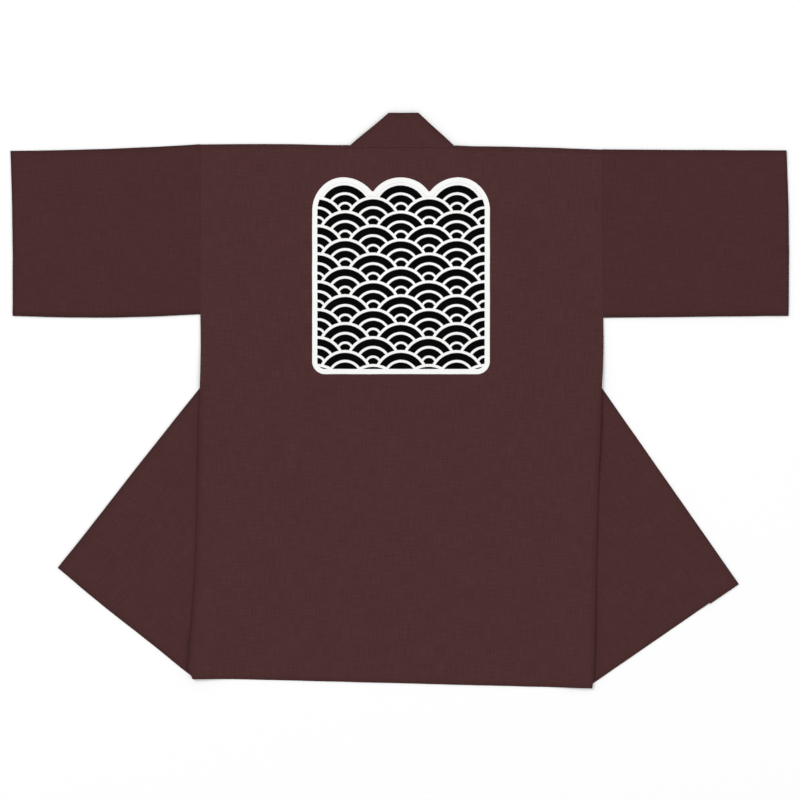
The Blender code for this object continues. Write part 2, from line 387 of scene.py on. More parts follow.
def seamShape(points, seams):
    # how much each turned-in edge thickens the cloth, and how its stitches pull it in
    extra = np.zeros(len(points))
    groove = np.zeros(len(points))
    pucker = np.zeros(len(points))
    for seam in seams:
        away, along = pathDistance(points, seam["path"])
        depth = seam["depth"]
        turnedIn = 1 - eased((away - depth - sewing["foldedPast"]) / sewing["foldedFade"])
        extra = np.maximum(extra, seam["extra"] * turnedIn)
        if seam["stitched"]:
            groove = np.maximum(groove, np.exp(-(((away - depth) / sewing["grooveWidth"]) ** 2)))
            phase = 2 * math.pi * along / sewing["puckerLength"] + 1.4 * np.sin(along / 0.031)
            pucker += np.sin(phase) * np.exp(-np.abs(away - depth) / sewing["puckerReach"])
    return extra, groove, pucker * sewing["puckerHeight"]


class Panel:
    # a flat piece of cloth with its outline, folds, heights, sewn edges and half thickness

    def __init__(self, name, outline, freeEdges, seams, sides, halfThickness, roundness):
        self.name = name
        self.corners = np.array(outline, dtype=float)
        self.freeEdges = freeEdges
        self.sides = sides
        self.halfThickness = halfThickness
        self.roundness = roundness
        after = np.roll(self.corners, -1, axis=0)
        step = after - self.corners
        self.area = (self.corners[:, 0] * after[:, 1] - after[:, 0] * self.corners[:, 1]).sum() / 2
        self.length = np.linalg.norm(step, axis=1)
        self.inward = np.sign(self.area) * np.stack((-step[:, 1], step[:, 0]), axis=1) / self.length[:, None]
        before = np.roll(self.inward, 1, axis=0)
        self.mitre = (before + self.inward) / (1 + (before * self.inward).sum(axis=1))[:, None]
        self.seams = []
        for seam in seams:
            edges = seam["edges"]
            ends = [*edges, (edges[-1] + 1) % len(self.corners)]
            inner = [self.corners[k] + seam["depth"] * self.mitre[k] for k in ends]
            inner[0] = self.corners[ends[0]] + seam["depth"] * self.inward[edges[0]]
            inner[-1] = self.corners[ends[-1]] + seam["depth"] * self.inward[edges[-1]]
            self.seams.append(dict(seam, path=self.corners[ends], inner=np.array(inner)))

    def rimDistance(self, points):
        return pathDistance(points, np.vstack((self.corners, self.corners[:1])))[0]

    def edgeDistance(self, points, free):
        # distance to the free edges, or to the sewn ones
        nearest = np.full(len(points), 9.0)
        for k in range(len(self.corners)):
            if (k in self.freeEdges) == free:
                path = self.corners[[k, (k + 1) % len(self.corners)]]
                nearest = np.minimum(nearest, pathDistance(points, path)[0])
        return nearest

    def inside(self, points):
        odd = np.zeros(len(points), dtype=bool)
        for start, end in zip(self.corners, np.roll(self.corners, -1, axis=0)):
            spans = (start[1] > points[:, 1]) != (end[1] > points[:, 1])
            slope = (end[0] - start[0]) / ((end[1] - start[1]) or 1e-12)
            odd ^= spans & (points[:, 0] < start[0] + (points[:, 1] - start[1]) * slope)
        return odd

    def surface(self, points, side, proud=0.0):
        extra, groove, pucker = seamShape(points, self.seams)
        towardFree = self.edgeDistance(points, True) / self.roundness
        towardSewn = self.edgeDistance(points, False) / sewing["sewnRound"]
        closing = np.clip(1 - np.minimum(towardFree, towardSewn), 0, 1)
        half = (self.halfThickness + extra - sewing["grooveDepth"] * groove) * np.sqrt(1 - closing**2)
        offset = side * (half + proud) + pucker * (1 - closing)
        placed = np.zeros((len(points), 3))
        for chosen, folds, heights in self.sides(points):
            placed[chosen] = foldedOver(points[chosen], offset[chosen], folds, heights)
        return laidDown(placed)


def spreadPoints(panel, folds, grid):
    # rim points first, then the rows beside edges, folds and stitches, then an even grid
    stations = (np.arange(sewing["foldRows"] + 1) / sewing["foldRows"] - 0.5) * coat["foldWidth"]
    cuts = [fold.shifted(at) for fold in folds for at in stations]
    rim, rows = [], []
    count = len(panel.corners)
    for k in range(count):
        start, end = panel.corners[k], panel.corners[(k + 1) % count]
        steps = max(1, round(panel.length[k] / sewing["edgeStep"]))
        shares = list(np.arange(steps) / steps)
        for line in cuts:
            first, last = line.distance(start), line.distance(end)
            if first * last < 0:
                shares.append(first / (first - last))
        kept = []
        for share in sorted(shares):
            if not kept or (share - kept[-1]) * panel.length[k] > sewing["nearest"]:
                kept.append(share)
        for share in kept:
            rim.append(start + share * (end - start))
            way = panel.inward[k] if share else panel.mitre[k]
            rows.extend(rim[-1] + depth * way for depth in sewing["roundRows"])
    fixed = len(rows)
    for fold in folds:
        reach = np.arange(-sewing["foldSpan"], sewing["foldSpan"], sewing["foldStep"])
        for at in stations:
            rows.extend(fold.start + at * fold.normal + reach[:, None] * fold.along)
    for seam in panel.seams:
        depths = [seam["depth"] + by for by in sewing["seamRows"]]
        for k in seam["edges"]:
            start, end = panel.corners[k], panel.corners[(k + 1) % count]
            steps = max(1, round(panel.length[k] / sewing["edgeStep"]))
            shares = (np.arange(steps + 1) / steps)[:, None]
            for depth in depths:
                rows.extend(start + depth * panel.inward[k] + shares * (end - start))
    rows = np.array(rows)
    fromRim = panel.rimDistance(rows)
    deep = panel.inside(rows) & (fromRim > sewing["rowClearance"])
    # a point behind the rim stays unless it comes closer to another edge than to its own
    deep[:fixed] = fromRim[:fixed] > sewing["ownDepth"] * np.tile(sewing["roundRows"], len(rim))
    rows = rows[deep]
    fixed = deep[:fixed].sum()
    cells = {}
    settled = []
    for point in [*rim, *rows]:
        cell = (int(point[0] // sewing["cell"]), int(point[1] // sewing["cell"]))
        near = [cells.get((cell[0] + i, cell[1] + j)) for i in (-1, 0, 1) for j in (-1, 0, 1)]
        kept = len(settled) < len(rim) + fixed
        if kept or all(n is None or math.dist(n, point) > sewing["nearest"] for n in near):
            cells[cell] = point
            settled.append(point)
    tree = kdtree.KDTree(len(settled))
    for k, point in enumerate(settled):
        tree.insert((point[0], point[1], 0), k)
    tree.balance()
    low, high = panel.corners.min(axis=0), panel.corners.max(axis=0)
    lines = np.arange(low[1], high[1], grid * sewing["gridRise"])
    places = np.arange(low[0], high[0], grid)
    spots = np.array([(x + grid / 2 * (j % 2), y) for j, y in enumerate(lines) for x in places])
    for spot in spots[panel.inside(spots)]:
        if tree.find((spot[0], spot[1], 0))[2] > sewing["gridClearance"] * grid:
            settled.append(spot)
    return np.array(settled), len(rim)


def addCloth(name, points, faces, pattern, shade):
    mesh = bpy.data.meshes.new(name)
    mesh.from_pydata(points.tolist(), [], faces.tolist())
    mesh.validate()
    mesh.shade_smooth()
    loops = np.empty(len(mesh.loops), dtype=np.int32)
    mesh.loops.foreach_get("vertex_index", loops)
    cutMap = mesh.uv_layers.new(name="cutPattern")
    cutMap.data.foreach_set("uv", pattern[loops].astype(np.float32).ravel())
    edge = mesh.attributes.new("edgeShade", "FLOAT", "POINT")
    edge.data.foreach_set("value", shade.astype(np.float32))
    piece = bpy.data.objects.new(name, mesh)
    bpy.context.scene.collection.objects.link(piece)
    print(f"{name}: {len(faces)} faces")
    return piece


def sewPanel(panel, folds, grid):
    spots, rimCount = spreadPoints(panel, folds, grid)
    found = delaunay_2d_cdt([Vector(spot) for spot in spots], [], [list(range(rimCount))], 1, 1e-7, True)
    flat = np.array([(spot[0], spot[1]) for spot in found[0]])
    onRim = np.array([any(k < rimCount for k in sources) for sources in found[3]])
    faces = np.array(found[2])
    faces = faces[~onRim[faces].all(axis=1)]  # what spans the outline's hollows has rim points alone
    upper = panel.surface(flat, 1)
    lower = panel.surface(flat, -1)
    twin = np.arange(len(flat))
    twin[~onRim] = len(flat) + np.arange((~onRim).sum())
    points = np.vstack((upper, lower[~onRim]))
    pattern = np.vstack((flat, flat[~onRim]))
    # painted shade: edgeShade is 1 at free edges and folds and fades inward; the material darkens the cloth
    # there
    shade = np.exp(-panel.edgeDistance(pattern, True) / sewing["shadeReach"])
    for fold in folds:
        shade = np.maximum(shade, np.exp(-np.abs(fold.distance(pattern)) / sewing["shadeReach"]))
    shell = np.vstack((faces, twin[faces][:, ::-1]))
    return addCloth(panel.name, points, shell, pattern, shade)


def onWholePiece(folds, heights):
    return lambda points: [(np.ones(len(points), dtype=bool), folds, heights)]


backCloth = {
    "grid": 0.006,
    "halfThickness": 0.00036,
    "round": 0.0003,
    "hemDepth": 0.009,
    "hemExtra": 0.00016,  # what the turned-in cloth adds to each face
    "sideDepth": 0.008,
    "sideExtra": 0.00013,
    "shoulderDepth": 0.0025,
    "shoulderExtra": 0.00014,
    "cut": (0.652, 0.852),
}


def backPanel():
    left, right = leftHalf.places, rightHalf.places
    drop = np.array((0, coat["shoulderReturn"] + coat["seamGap"]))
    outline = [
        left["shoulder"] - drop,
        left["underarm"],
        left["slitTop"],
        left["slitMiddle"],
        left["hemTurn"],
        left["hemCorner"],
        right["hemCorner"],
        right["hemTurn"],
        right["slitMiddle"],
        right["slitTop"],
        right["underarm"],
        right["shoulder"] - drop,
        (rightHalf.neck[0], neckY - coat["neckDip"]),
        (rightHalf.neckFoot[0] - coat["seamGap"], neckY - coat["turnRoom"]),
        (rightHalf.neckFoot[0] - coat["turnLength"], neckY),
        (leftHalf.neckFoot[0] + coat["turnLength"], neckY),
        (leftHalf.neckFoot[0] + coat["seamGap"], neckY - coat["turnRoom"]),
        (leftHalf.neck[0], neckY - coat["neckDip"]),
    ]
    hem = [2, 3, 4, 5, 6, 7, 8]
    # each: edges of the outline, and the name that its depth and extra have above
    sewn = ((hem, "hem"), ([1], "side"), ([9], "side"), ([11], "shoulder"), ([17], "shoulder"))
    seams = []
    for edges, kind in sewn:
        depth, extra = backCloth[kind + "Depth"], backCloth[kind + "Extra"]
        seams.append({"edges": edges, "depth": depth, "extra": extra, "stitched": True})
    sides = onWholePiece([], [liftedBack])
    return Panel("backPanel", outline, hem, seams, sides, backCloth["halfThickness"], backCloth["round"])


frontCloth = {
    "grid": 0.006,
    "halfThickness": 0.00036,
    "round": 0.0003,
    "hemDepth": 0.009,
    "hemExtra": 0.00016,
    "seamDepth": 0.0075,
    "seamExtra": 0.00034,
    "leftCut": (0.245, 0.855),
    "rightCut": (0.266, 0.865),
}


def frontPanel(name, half):
    at, shoulder, lapel, cloth = half.places, half.shoulder, half.lapel, frontCloth
    seamEnd = half.flapEdge.shifted(coat["bandWidth"] + coat["seamGap"]).crossing(half.flapHem)
    outline = [
        at["shoulder"],
        at["shoulder"] - np.array((0, coat["shoulderReturn"])),
        (half.neck[0], neckY - coat["neckDip"] + coat["seamGap"]),
        half.neckFoot,
        half.neckTop,
        shoulder.mirror(half.neckFoot),
        shoulder.mirror(half.seamTop + coat["neckNotch"] * half.down),
        shoulder.mirror(lapel.mirror(seamEnd)),
        shoulder.mirror(at["hemCorner"]),
        shoulder.mirror(at["slitMiddle"]),
        shoulder.mirror(at["slitTop"]),
        shoulder.mirror(at["underarm"]),
    ]
    hem = [7, 8, 9]
    seams = [
        {"edges": hem, "depth": cloth["hemDepth"], "extra": cloth["hemExtra"], "stitched": True},
        {"edges": [6], "depth": cloth["seamDepth"], "extra": cloth["seamExtra"], "stitched": False},
    ]
    heights = [backHeight, half.frontHeight, half.flapHeight]
    sides = onWholePiece([shoulder, lapel], heights)
    return Panel(name, outline, hem, seams, sides, cloth["halfThickness"], cloth["round"])


collarCloth = {"grid": 0.0045, "halfThickness": 0.0008, "round": 0.0008, "seamDepth": 0.0028}


def collarPanel():
    cloth = collarCloth
    ends = []
    for half in sideHalves.values():
        seamEnd = half.flapEdge.shifted(coat["bandWidth"]).crossing(half.flapHem)
        for corner in (half.places["flapCorner"], seamEnd):
            corner = corner - half.bandPastHem * half.flapHem.normal
            ends.append(half.crease.mirror(half.lapel.mirror(corner)))
    leftEdge, leftSeam, rightEdge, rightSeam = ends
    seams = [{"edges": [1], "depth": cloth["seamDepth"], "extra": 0.0, "stitched": True}]

    def sides(points):
        chosen = points[:, 0] < 0
        for half, where in ((leftHalf, chosen), (rightHalf, ~chosen)):
            yield where, [half.crease, half.lapel], [neckBandHeight, half.frontHeight, half.flapHeight]

    outline = [leftEdge, leftSeam, rightSeam, rightEdge]
    return Panel("collarBand", outline, [0, 2, 3], seams, sides, cloth["halfThickness"], cloth["round"])


sleeveCloth = {
    "step": 0.006,
    "stepClearance": 0.45,
    "topRows": (0.0, 0.0012, 0.003),  # rows of points this far below the fold at the top
    "bottomRows": (0.0095, 0.008, 0.0),  # and this far above the bottom
    "halfThickness": 0.00036,
    "round": 0.0003,
    "cuffDepth": 0.007,
    "cuffExtra": 0.00016,
    "cuffEase": 0.0045,  # the first free row lies this far from each end
    "allowance": 0.008,
    "allowanceFade": 0.0025,
    "bottomExtra": 0.00011,
    "armholeExtra": 0.00010,
    "turnSteps": 12,
    "sag": 0.002,
    "girth": 0.524,
    "wallDepth": 0.258,
    "turnLength": 0.0022,
    "patternApart": 0.7,  # keeps the two sleeves' weaves apart
}


def evenly(length, dense):
    # places from 0 to length at the sleeve's step, with the given extra ones
    places = np.append(np.arange(0, length, sleeveCloth["step"]), length)
    clear = sleeveCloth["stepClearance"] * sleeveCloth["step"]
    far = [p for p in places if min(abs(p - d) for d in dense) > clear]
    return np.array(sorted([*far, *dense]))


class Sleeve:
    # a flattened tube, folded at the top and sewn along the bottom

    def __init__(self, name, half):
        self.name = name
        self.half = half
        at = half.places
        self.seam = np.array((at["outward"] * coat["seamGap"], 0))
        self.length = abs(at["cuffTop"][0] - at["shoulder"][0])
        self.radius = (coat["cloth"] + coat["gap"]) / 2
        self.middle = coat["cloth"] + coat["gap"] / 2

    def ends(self, share):
        at = self.half.places
        share = np.asarray(share, dtype=float)[..., None]
        top = at["shoulder"] + self.seam + share * (at["cuffTop"] - at["shoulder"] - self.seam)
        bottom = at["underarm"] + self.seam + share * (at["cuffBottom"] - at["underarm"] - self.seam)
        bottom = bottom - np.array((0, sleeveCloth["sag"])) * np.sin(math.pi * share)
        return top, bottom

    def surface(self, along, around, side, proud=0.0):
        # around: to 1 down the upper wall, to 2 round the bottom, to 3 up the lower wall, to 4 round the top
        cloth = sleeveCloth
        top, bottom = self.ends(along / self.length)
        up = top - bottom
        up /= np.linalg.norm(up, axis=1)[:, None]
        high, low = top - self.middle * up, bottom + self.middle * up
        depth = np.linalg.norm(high - low, axis=1)
        cuff = self.length - along
        pastStitches = cuff - cloth["cuffDepth"]
        extra = cloth["cuffExtra"] * (1 - eased((pastStitches - sewing["foldedPast"]) / sewing["foldedFade"]))
        groove = np.exp(-((pastStitches / sewing["grooveWidth"]) ** 2))
        onWall = np.where(around < 1, around, np.where(around < 2, 1, np.where(around < 3, 3 - around, 0)))
        fromBottom = (1 - onWall) * depth
        bottomSeam = 1 - eased((fromBottom - cloth["allowance"]) / cloth["allowanceFade"])
        armhole = 1 - eased((along - cloth["allowance"]) / cloth["allowanceFade"])
        extra = np.maximum(extra, cloth["bottomExtra"] * bottomSeam)
        extra = np.maximum(extra, cloth["armholeExtra"] * armhole)
        phase = 2 * math.pi * around * 0.26 / sewing["puckerLength"] + 1.3 * np.sin(around * 9)
        pucker = np.sin(phase) * np.exp(-np.abs(pastStitches) / sewing["puckerReach"])
        pucker *= sewing["puckerHeight"]
        closing = np.clip(1 - np.minimum(cuff, along) / cloth["round"], 0, 1)
        half = (cloth["halfThickness"] + extra - sewing["grooveDepth"] * groove) * np.sqrt(1 - closing**2)
        radius = self.radius + side * (half + proud) + pucker * (1 - closing)
        turn = math.pi * np.where(around < 2, np.clip(around - 1, 0, 1), np.clip(around - 3, 0, 1))
        hinge = np.where((around < 1)[:, None], high + around[:, None] * (low - high), low)
        hinge = np.where((around >= 2)[:, None], low + (around[:, None] - 2) * (high - low), hinge)
        hinge = np.where((around >= 3)[:, None], high, hinge)
        sine = np.sin(turn)
        out = np.where(around < 1, 0, np.where(around < 2, sine, np.where(around < 3, 0, -sine)))
        rise = np.where(around < 2, np.cos(turn), -np.cos(turn))
        placed = np.zeros((len(along), 3))
        placed[:, :2] = hinge - (radius * out)[:, None] * up
        placed[:, 2] = self.middle + radius * rise
        return laidDown(placed)


def sewSleeve(sleeve):
    roundRows = [0.0, *sewing["roundRows"]]
    cuffRows = [sleeveCloth["cuffDepth"] + by for by in sewing["seamRows"]]
    fromEnds = [*roundRows, sleeveCloth["cuffEase"], *[sleeve.length - at for at in [*roundRows, *cuffRows]]]
    along = evenly(sleeve.length, fromEnds)
    wallDepth, turnLength = sleeveCloth["wallDepth"], sleeveCloth["turnLength"]
    fromBottom = [wallDepth - at for at in sleeveCloth["bottomRows"]]
    wall = evenly(wallDepth, [*sleeveCloth["topRows"], *fromBottom]) / wallDepth
    turning = np.arange(1, sleeveCloth["turnSteps"]) / sleeveCloth["turnSteps"]
    around = np.concatenate((wall, 1 + turning, 3 - wall[::-1], 3 + turning))
    ringCount, stations = len(around), len(along)
    alongAll = np.repeat(along, ringCount)
    aroundAll = np.tile(around, stations)
    outer = sleeve.surface(alongAll, aroundAll, 1)
    inner = sleeve.surface(alongAll, aroundAll, -1)
    ends = np.zeros(stations * ringCount, dtype=bool)
    ends[:ringCount] = True
    ends[-ringCount:] = True
    twin = np.arange(len(outer))
    twin[~ends] = len(outer) + np.arange((~ends).sum())
    first = np.arange(stations - 1)[:, None] * ringCount + np.arange(ringCount)
    after = np.arange(stations - 1)[:, None] * ringCount + (np.arange(ringCount) + 1) % ringCount
    quads = np.stack((first, after, after + ringCount, first + ringCount), axis=2).reshape(-1, 4)
    quads = quads[:, ::-1] if sleeve.half.places["outward"] < 0 else quads
    faces = np.vstack((quads, twin[quads][:, ::-1]))
    points = np.vstack((outer, inner[~ends]))
    # the cloth's own widths: each wall, and the turns between them
    widths = np.cumsum((0, wallDepth, turnLength, wallDepth, turnLength))
    aroundLength = np.interp(aroundAll, range(5), widths)
    apart = sleeveCloth["patternApart"] * sleeve.half.places["outward"]
    pattern = np.stack((aroundLength + apart, alongAll), axis=1)
    pattern = np.vstack((pattern, pattern[~ends]))
    # painted shade: edgeShade is 1 at the cuff and along the folded turns and fades inward; the material
    # darkens the cloth there
    shade = np.exp(-(sleeve.length - pattern[:, 1]) / sewing["shadeReach"])
    fromTurn = np.where(aroundAll % 2 > 1, 0, np.minimum(aroundAll % 2, 1 - aroundAll % 2)) * wallDepth
    onTurn = np.exp(-fromTurn / sewing["shadeReach"])
    shade = np.maximum(shade, np.concatenate((onTurn, onTurn[~ends])))
    return addCloth(sleeve.name, points, faces, pattern, shade)


def stitchedThread(name, runs):
    # each run gives a place and a length: place(at, proud) is the surface along one row of stitches
    sides, widths = sewing["threadSides"], sewing["stitchWidths"]
    turns = [2 * math.pi * k / sides for k in range(sides)]
    ring = [(math.cos(turn), math.sin(turn)) for turn in turns]
    points, faces = [], []
    for place, length in runs:
        count = int(length / sewing["stitchPitch"])
        starts = (np.arange(count) + sewing["stitchStart"]) * sewing["stitchPitch"]
        rows = []
        for k, height in enumerate(sewing["stitchHeights"]):
            rows.append(place(starts + sewing["stitchLength"] * k / 3, height))
        rows = np.array(rows)
        for m in range(count):
            path = rows[:, m]
            way = path[3] - path[0]
            way /= np.linalg.norm(way)
            across = np.cross(way, (0, 0, 1.0))
            across /= np.linalg.norm(across)
            up = np.cross(across, way)
            base = len(points)
            for k in range(4):
                for right, rise in ring:
                    points.append(path[k] + sewing["threadRadius"] * widths[k] * (right * across + rise * up))
            for k in range(3):
                for j in range(sides):
                    here, there = base + k * sides + j, base + k * sides + (j + 1) % sides
                    faces.append((here, here + sides, there + sides, there))
            faces.append(tuple(base + j for j in range(sides)))
            faces.append(tuple(base + 3 * sides + j for j in range(sides))[::-1])
    mesh = bpy.data.meshes.new(name)
    mesh.from_pydata([tuple(point) for point in points], [], faces)
    mesh.shade_smooth()
    piece = bpy.data.objects.new(name, mesh)
    bpy.context.scene.collection.objects.link(piece)
    print(f"{name}: {len(faces)} faces")
    return piece


def along(path, places):
    lengths = np.linalg.norm(np.diff(path, axis=0), axis=1)
    run = np.concatenate(((0,), np.cumsum(lengths)))
    return np.stack([np.interp(places, run, path[:, k]) for k in (0, 1)], axis=1)


def panelStitches(panel, side=1):
    runs = []
    for seam in panel.seams:
        if seam["stitched"]:
            path = seam["inner"]
            length = np.linalg.norm(np.diff(path, axis=0), axis=1).sum() - sewing["threadEnd"]
            runs.append((lambda at, proud, path=path: panel.surface(along(path, at), side, proud), length))
    return stitchedThread(panel.name + "Stitches", runs)


def sleeveStitches(sleeve):
    place = sleeve.length - sleeveCloth["cuffDepth"]
    wallDepth = sleeveCloth["wallDepth"]

    def upperWall(at, proud):
        return sleeve.surface(np.full(len(at), place), at / wallDepth, 1, proud)

    def lowerWall(at, proud):
        return sleeve.surface(np.full(len(at), place), 2 + at / wallDepth, 1, proud)

    return stitchedThread(sleeve.name + "Stitches", [(upperWall, wallDepth), (lowerWall, wallDepth)])


class Recipe:
    # short calls for a material's nodes; an input is a number, a colour or another node's output

    def __init__(self, name):
        self.material = bpy.data.materials.new(name)
        self.material.use_nodes = True
        self.tree = self.material.node_tree
        self.shader = self.tree.nodes["Principled BSDF"]

    def feed(self, node, inputs):
        for key, value in inputs.items():
            if isinstance(value, bpy.types.NodeSocket):
                self.tree.links.new(value, node.inputs[key])
            elif value is not None:
                node.inputs[key].default_value = value

    def finished(self, inputs):
        self.feed(self.shader, inputs)
        return self.material

    def node(self, kind, inputs=(), output=0, **settings):
        made = self.tree.nodes.new(kind)
        for key, value in settings.items():
            setattr(made, key, value)
        self.feed(made, dict(inputs))
        return made.outputs[output]

    def math(self, operation, first, second=None, third=None, clamp=False):
        inputs = {0: first, 1: second, 2: third}
        return self.node("ShaderNodeMath", inputs, operation=operation, use_clamp=clamp)

    def diagonal(self, across, up):
        square = self.math("ADD", self.math("POWER", across, 2.0), self.math("POWER", up, 2.0))
        return self.math("SQRT", square)

    def noise(self, place, scale, detail=2.0, rough=0.5):
        inputs = {"Vector": place, "Scale": scale, "Detail": detail, "Roughness": rough}
        return self.node("ShaderNodeTexNoise", inputs)

    def ranged(self, value, low, high, first, last):
        inputs = {"Value": value, "From Min": low, "From Max": high, "To Min": first, "To Max": last}
        return self.node("ShaderNodeMapRange", inputs)

    def mix(self, share, first, second, blend="MIX"):
        inputs = {0: share, 6: first, 7: second}
        return self.node("ShaderNodeMix", inputs, output=2, data_type="RGBA", blend_type=blend)

    def scaled(self, place, scale):
        return self.node("ShaderNodeMapping", {"Vector": place, "Scale": scale})

    def raised(self, height, strength, distance):
        inputs = {"Height": height, "Strength": strength, "Distance": distance}
        return self.node("ShaderNodeBump", inputs)


cotton = {
    "colour": (0.0763, 0.0294, 0.0297, 1.0),
    "slubColour": (0.0990, 0.0412, 0.0404, 1.0),
    "deepColour": (0.0573, 0.0211, 0.0216, 1.0),
    # painted shade: the colour the cloth darkens towards at free edges and folds
    "paintedEdgeShadeColour": (0.0435, 0.0157, 0.0164, 1.0),
    "pitch": 0.00055,  # one thread to the next
    "threadRound": 0.6,
    "crimp": 0.38,  # how much a thread rises where it passes over
    "weaveShadeTones": (0.70, 1.08),  # painted shade in the weave's hollows and painted light on its threads
    "stray": 0.0016,
    # how fine each kind of unevenness is along u and v
    "strayScale": (26, 26, 1),
    "warpScale": (950, 34, 1),
    "weftScale": (38, 880, 1),
    "mottleScale": (17, 17, 1),
    "fleckScale": (420, 420, 1),
    "slubStrength": 0.42,
    "mottleStrength": 0.16,
    "fleckStrength": 0.14,
    # how strongly the painted edge shade darkens the cloth, least and most
    "paintedEdgeShadeStrength": (0.45, 0.65),
    "roughness": (0.84, 0.96),
    "slubRelief": 0.35,
    "bump": 0.00008,
    "bumpStrength": 0.55,
    "specular": 0.05,
    "sheen": 0.02,
    "sheenRoughness": 0.5,
    "sheenTint": (0.75, 0.55, 0.53, 1.0),
    # how light each part of the coat is beside the back
    "backTone": 1.0,
    "bodyTone": 0.965,
    "sleeveTone": 0.915,
}


def weaveHeight(recipe, u, v):
    # plain weave: threads pass over and under by turns, each crossing a small pillow
    turnU = recipe.math("SINE", recipe.math("MULTIPLY", u, math.pi / cotton["pitch"]))
    turnV = recipe.math("SINE", recipe.math("MULTIPLY", v, math.pi / cotton["pitch"]))
    acrossU, acrossV = recipe.math("ABSOLUTE", turnU), recipe.math("ABSOLUTE", turnV)
    over = recipe.math("MULTIPLY", turnU, turnV)
    crimp = cotton["crimp"]
    warpRise = recipe.math("MULTIPLY_ADD", over, crimp, 1 - crimp)
    weftRise = recipe.math("MULTIPLY_ADD", over, -crimp, 1 - crimp)
    warp = recipe.math("MULTIPLY", recipe.math("POWER", acrossU, cotton["threadRound"]), warpRise)
    weft = recipe.math("MULTIPLY", recipe.math("POWER", acrossV, cotton["threadRound"]), weftRise)
    return recipe.math("MAXIMUM", warp, weft)


def clothFinish(name, tone, printed=False):
    recipe = Recipe(name)
    place = recipe.node("ShaderNodeUVMap", output=0, uv_map="cutPattern")
    parts = recipe.tree.nodes.new("ShaderNodeSeparateXYZ")
    recipe.tree.links.new(place, parts.inputs[0])
    u, v = parts.outputs[0], parts.outputs[1]
    # threads stray a little from straight lines
    stray = recipe.noise(recipe.scaled(place, cotton["strayScale"]), 1.0, 1.0)
    strayed = recipe.math("MULTIPLY", stray, cotton["stray"])
    weave = weaveHeight(recipe, recipe.math("ADD", u, strayed), recipe.math("SUBTRACT", v, strayed))
    warpSlub = recipe.noise(recipe.scaled(place, cotton["warpScale"]), 1.0, 2.0, 0.6)
    weftSlub = recipe.noise(recipe.scaled(place, cotton["weftScale"]), 1.0, 2.0, 0.6)
    mottle = recipe.noise(recipe.scaled(place, cotton["mottleScale"]), 1.0, 3.0, 0.6)
    fleck = recipe.noise(recipe.scaled(place, cotton["fleckScale"]), 1.0, 2.0, 0.7)
    warpSlub = recipe.ranged(warpSlub, 0.3, 0.7, -1, 1)
    weftSlub = recipe.ranged(weftSlub, 0.3, 0.7, -1, 1)
    slub = recipe.math("ADD", warpSlub, weftSlub)
    light = recipe.math("MULTIPLY", slub, cotton["slubStrength"], clamp=True)
    dark = recipe.math("MULTIPLY", slub, -cotton["slubStrength"], clamp=True)
    cloth = recipe.mix(light, cotton["colour"], cotton["slubColour"])
    cloth = recipe.mix(dark, cloth, cotton["deepColour"])
    mottled = recipe.ranged(mottle, 0.3, 0.7, 0.0, cotton["mottleStrength"])
    cloth = recipe.mix(mottled, cloth, cotton["deepColour"])
    flecked = recipe.ranged(fleck, 0.35, 0.75, 0.0, cotton["fleckStrength"])
    cloth = recipe.mix(flecked, cloth, cotton["slubColour"])
    # painted shade: the cloth darkens towards free edges and folds, where rolled edges fall into shade
    edge = recipe.node("ShaderNodeAttribute", output=2, attribute_name="edgeShade")
    uneven = recipe.ranged(fleck, 0.35, 0.7, *cotton["paintedEdgeShadeStrength"])
    paintedEdgeShade = recipe.math("MULTIPLY", edge, uneven, clamp=True)
    cloth = recipe.mix(paintedEdgeShade, cloth, cotton["paintedEdgeShadeColour"])
    # painted shade and light: the colour darkens in the weave's hollows and lightens on its threads
    shade = recipe.ranged(weave, 0.2, 0.9, *[tone * share for share in cotton["weaveShadeTones"]])
    grey = recipe.node("ShaderNodeCombineColor", {0: shade, 1: shade, 2: shade})
    cloth = recipe.mix(1.0, cloth, grey, "MULTIPLY")
    if printed:
        ink, inked = wavePrint(recipe, u, v, fleck)
        cloth = recipe.mix(inked, cloth, ink)
    relief = recipe.math("MULTIPLY_ADD", slub, cotton["slubRelief"], weave)
    return recipe.finished(
        {
            "Base Color": cloth,
            "Roughness": recipe.ranged(fleck, 0.3, 0.7, *cotton["roughness"]),
            "Normal": recipe.raised(relief, cotton["bumpStrength"], cotton["bump"]),
            "Specular IOR Level": cotton["specular"],
            "Sheen Weight": cotton["sheen"],
            "Sheen Roughness": cotton["sheenRoughness"],
            "Sheen Tint": cotton["sheenTint"],
        }
    )


wave = {
    "centre": (0.0024, 0.1967),
    "radius": 0.044,
    "columns": 1,  # scales each side of the middle one
    "topRow": 0.103,
    "bottom": -0.147,
    "outline": 0.008,
    "corner": 0.012,
    "black": (0.0008, 0.0008, 0.0008, 1.0),
    "white": (0.93, 0.93, 0.92, 1.0),
    # middle and half width of each white arc, as shares of the radius
    "rings": ((0.26, 0.040), (0.60, 0.045), (0.95, 0.050)),
    "softness": 0.008,
    "bleed": 0.00030,
}


